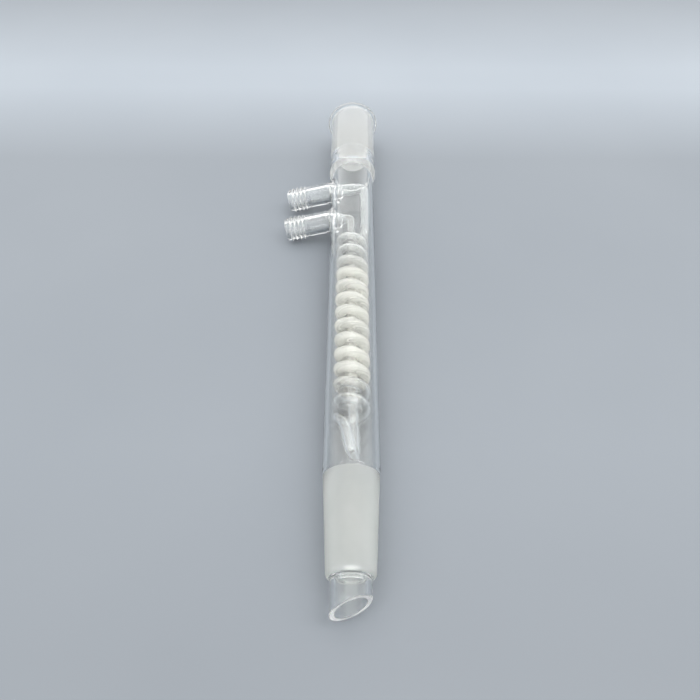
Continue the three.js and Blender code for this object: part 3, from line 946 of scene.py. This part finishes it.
riser_start = crossing_at(UPPER_ARM_Y, RISER_X - RISER_BEND - GAP)
riser_path = bent([riser_start, crossing_at(UPPER_ARM_Y, RISER_X), (RISER_X, RISER_END, 0)],
                  RISER_BEND)
centre_start = crossing_at(LOWER_ARM_Y, -CENTRE_SWAY - CENTRE_BEND - GAP)
centre_path = bent([centre_start, crossing_at(LOWER_ARM_Y, -CENTRE_SWAY),
                    (CENTRE_SWAY, BEND_TOP_Y, 0)], CENTRE_BEND, spacing=2.0)

build_cross("upper", UPPER_ARM_Y, riser_start, RISER_R, RISER_BORE_R)
build_cross("lower", LOWER_ARM_Y, centre_start, CENTRE_R, CENTRE_BORE_R)
sweep("riser_glass", riser_path, eased(len(riser_path), RISER_R, COIL_TUBE_R, 0.7, 1),
      eased(len(riser_path), RISER_BORE_R, COIL_BORE_R, 0.7, 1), (CLEAR, CLEAR),
      "clear_glass", "riser_tube")
sweep("centre_glass", centre_path, CENTRE_R, CENTRE_BORE_R, (CORE_GLASS_WITH_PAINTED_GLARE, CORE_GLASS_WITH_PAINTED_GLARE),
      "clear_glass", "centre_tube")

# ---------------------------------------------------------------- coil and U-bend


def helix(share):
    turn = COIL_LOW_TURN + 2 * math.pi * COIL_TURNS * share
    return np.array([COIL_MEAN_R * math.cos(turn), COIL_LOW_Y + COIL_PITCH * COIL_TURNS * share,
                     COIL_MEAN_R * math.sin(turn)])


def helix_heading(share):
    step = 1e-5
    ahead = helix(share + step) - helix(share - step)
    return ahead / np.linalg.norm(ahead)


helix_steps = round(COIL_TURNS * COIL_STEPS)
coil_path = [helix(i / helix_steps) for i in range(helix_steps + 1)]
lead_end = np.array([RISER_X, RISER_END, 0])
coil_path += bezier(coil_path[-1], coil_path[-1] + helix_heading(1) * COIL_LEAD / 2,
                    lead_end - (0, COIL_LEAD / 2, 0), lead_end, BEND_STEPS)
sweep("coil_glass", coil_path, COIL_TUBE_R, COIL_BORE_R, (COIL_GLASS_WITH_PAINTED_GLARE, PAINTED_GLARE_BORE),
      "coil_glass", "coil")

spread = BEND_SPREAD * np.array([math.cos(BEND_TURN), 0, math.sin(BEND_TURN)])
centre_leg = np.array([CENTRE_SWAY + BEND_DRIFT, BEND_LOW_Y, 0])
return_leg = centre_leg + spread
leg_top = return_leg + np.array([-BEND_SPLAY, BEND_LEG, 0])
bend_path = bent([(CENTRE_SWAY, BEND_TOP_Y, 0), centre_leg, return_leg, leg_top],
                 BEND_SPREAD * BEND_ROUND, spacing=0.8)
coil_end = helix(0)
bend_path += bezier(leg_top, toward(leg_top, leg_top + leg_top - return_leg, BEND_EASE),
                    coil_end - helix_heading(0) * BEND_EASE, coil_end, 24)
sweep("bend_glass", bend_path, eased(len(bend_path), CENTRE_R, COIL_TUBE_R, 0.75, 1),
      eased(len(bend_path), CENTRE_BORE_R, COIL_BORE_R, 0.75, 1), (CLEAR, CLEAR),
      "clear_glass", "u_bend")

# ---------------------------------------------------------------- bench, light and camera


BENCH_REACH = 2.5             # metres from the middle to each side
PAINTED_LIGHT_BAND_IN = (0.14, 0.23)    # metres along Y over which the painted band of light on the far bench comes in
PAINTED_LIGHT_BAND_OUT = (0.26, 0.38)   # and over which most of it goes out
PAINTED_LIGHT_BAND_GAIN = 0.5           # how much paler it is
NEAR_SHADE = 0.9              # the bench's brightness at its near end, darkened by a painted shadow
NEAR_EDGE = (-0.17, -0.08)    # metres along Y over which that eases off


def bench():
    """A plain bench top: a very faint cloudiness, a band of painted light far off and a painted
    shadow over its near end.
    """
    m = Nodes("bench")
    paint = m.add("ShaderNodeBsdfPrincipled")
    paint.inputs["Roughness"].default_value = 0.6
    cloud = m.noise(m.along(6, 6), detail=3.0)
    plain = m.blend(m.ramp(cloud, 0, 1), (0.142, 0.160, 0.181), (0.152, 0.170, 0.191))
    y = m.place_on("Y")
    # Painted light: a paler band across the far bench, fixed along the scene's Y.
    painted_light_band = m.reckon("MULTIPLY", m.ramp(y, 0, 1, *PAINTED_LIGHT_BAND_IN), m.ramp(y, 1, 0.1, *PAINTED_LIGHT_BAND_OUT))
    gain = m.add("ShaderNodeMath", operation="MULTIPLY_ADD")
    gain.inputs[1].default_value = PAINTED_LIGHT_BAND_GAIN
    m.link(painted_light_band, gain.inputs[0])
    # Painted shadow: the bench darker towards its near end.
    m.link(m.ramp(y, NEAR_SHADE, 1.0, *NEAR_EDGE), gain.inputs[2])
    shade = m.add("ShaderNodeVectorMath", operation="SCALE")
    m.link(plain, shade.inputs[0])
    m.link(gain.outputs[0], shade.inputs["Scale"])
    m.link(shade.outputs[0], paint.inputs["Base Color"])
    grain = m.noise(m.along(900, 900), detail=2.0)
    m.link(m.bump(grain, 0.05, 0.0002), paint.inputs["Normal"])
    mesh = bpy.data.meshes.new("bench_top")
    corners = ((-1, -1), (1, -1), (1, 1), (-1, 1))
    places = [(x * BENCH_REACH, y * BENCH_REACH, 0) for x, y in corners]
    mesh.from_pydata(places, [], [(0, 1, 2, 3)])
    mesh.materials.append(m.surface(paint))
    top = bpy.data.objects.new("bench_top", mesh)
    bpy.context.scene.collection.objects.link(top)


bench()


WARM_WHITE = (1.0, 0.995, 0.985)
STRIP_SIZE = (0.3, 1.9)       # metres
STRIP_UP = 1.6
WALL_GLOW = (1.45, 1.85)      # the room's strength at the horizon and straight up
CEILING_EDGE = (0.68, 0.86)   # heights of the direction over which the ceiling sets in
CEILING_GLOW = 1.15           # what the ceiling adds


def area_light(name, location, target, size, power, colour):
    lamp = bpy.data.lights.new(name, "AREA")
    lamp.shape = "RECTANGLE"
    lamp.size, lamp.size_y = size
    lamp.energy = power
    lamp.color = colour
    holder = bpy.data.objects.new(name, lamp)
    holder.location = location
    aim = Vector(target) - Vector(location)
    holder.rotation_euler = aim.to_track_quat("-Z", "Y").to_euler()
    bpy.context.scene.collection.objects.link(holder)


for side, x, power in (("left", -1.0, 4), ("right", 1.2, 11.5)):
    area_light(f"{side}_ceiling_strip", (x, -0.2, STRIP_UP), (x / 2, -0.1, 0), STRIP_SIZE,
               power, WARM_WHITE)


def room():
    """A white room: an even wall all round, and a brighter ceiling straight overhead."""
    world = bpy.data.worlds.new("room")
    world.use_nodes = True
    tree = world.node_tree
    where = tree.nodes.new("ShaderNodeTexCoord")
    split = tree.nodes.new("ShaderNodeSeparateXYZ")
    tree.links.new(where.outputs["Generated"], split.inputs[0])
    total = tree.nodes.new("ShaderNodeMath")
    glows = (("LINEAR", (0.0, 1.0), WALL_GLOW), ("SMOOTHSTEP", CEILING_EDGE, (0.0, CEILING_GLOW)))
    for i, (shape, heights, strengths) in enumerate(glows):
        glow = tree.nodes.new("ShaderNodeMapRange")
        glow.interpolation_type = shape
        for name, value in zip(("From Min", "From Max", "To Min", "To Max"), heights + strengths):
            glow.inputs[name].default_value = value
        tree.links.new(split.outputs["Z"], glow.inputs["Value"])
        tree.links.new(glow.outputs["Result"], total.inputs[i])
    background = tree.nodes["Background"]
    background.inputs["Color"].default_value = (*WARM_WHITE, 1)
    tree.links.new(total.outputs[0], background.inputs["Strength"])
    bpy.context.scene.world = world


room()

CAMERA_BACK = 120.8           # behind the cone's wide end, along the condenser
CAMERA_UP = 245.2             # above the condenser's axis
CAMERA_PITCH = math.radians(51.74)
CAMERA_PAN = math.radians(0.27)
CAMERA_LENS = 32.75
CAMERA_SENSOR = 36
CAMERA_NEAR = 0.01            # metres

camera = bpy.data.cameras.new("camera")
camera.lens = CAMERA_LENS
camera.sensor_width = CAMERA_SENSOR
camera.clip_start = CAMERA_NEAR
holder = bpy.data.objects.new("camera", camera)
holder.location = (
    float(offset[0]),
    float(offset[1]) + (-CAMERA_BACK * math.cos(slope) - CAMERA_UP * math.sin(slope)) * MM,
    float(offset[2]) + (-CAMERA_BACK * math.sin(slope) + CAMERA_UP * math.cos(slope)) * MM,
)
holder.rotation_euler = (math.pi / 2 - CAMERA_PITCH, 0, CAMERA_PAN)
bpy.context.scene.collection.objects.link(holder)
bpy.context.scene.camera = holder

bpy.context.scene.view_settings.view_transform = "Standard"
cycles = bpy.context.scene.cycles
cycles.max_bounces = 32
cycles.transmission_bounces = 32
cycles.glossy_bounces = 8
cycles.transparent_max_bounces = 24
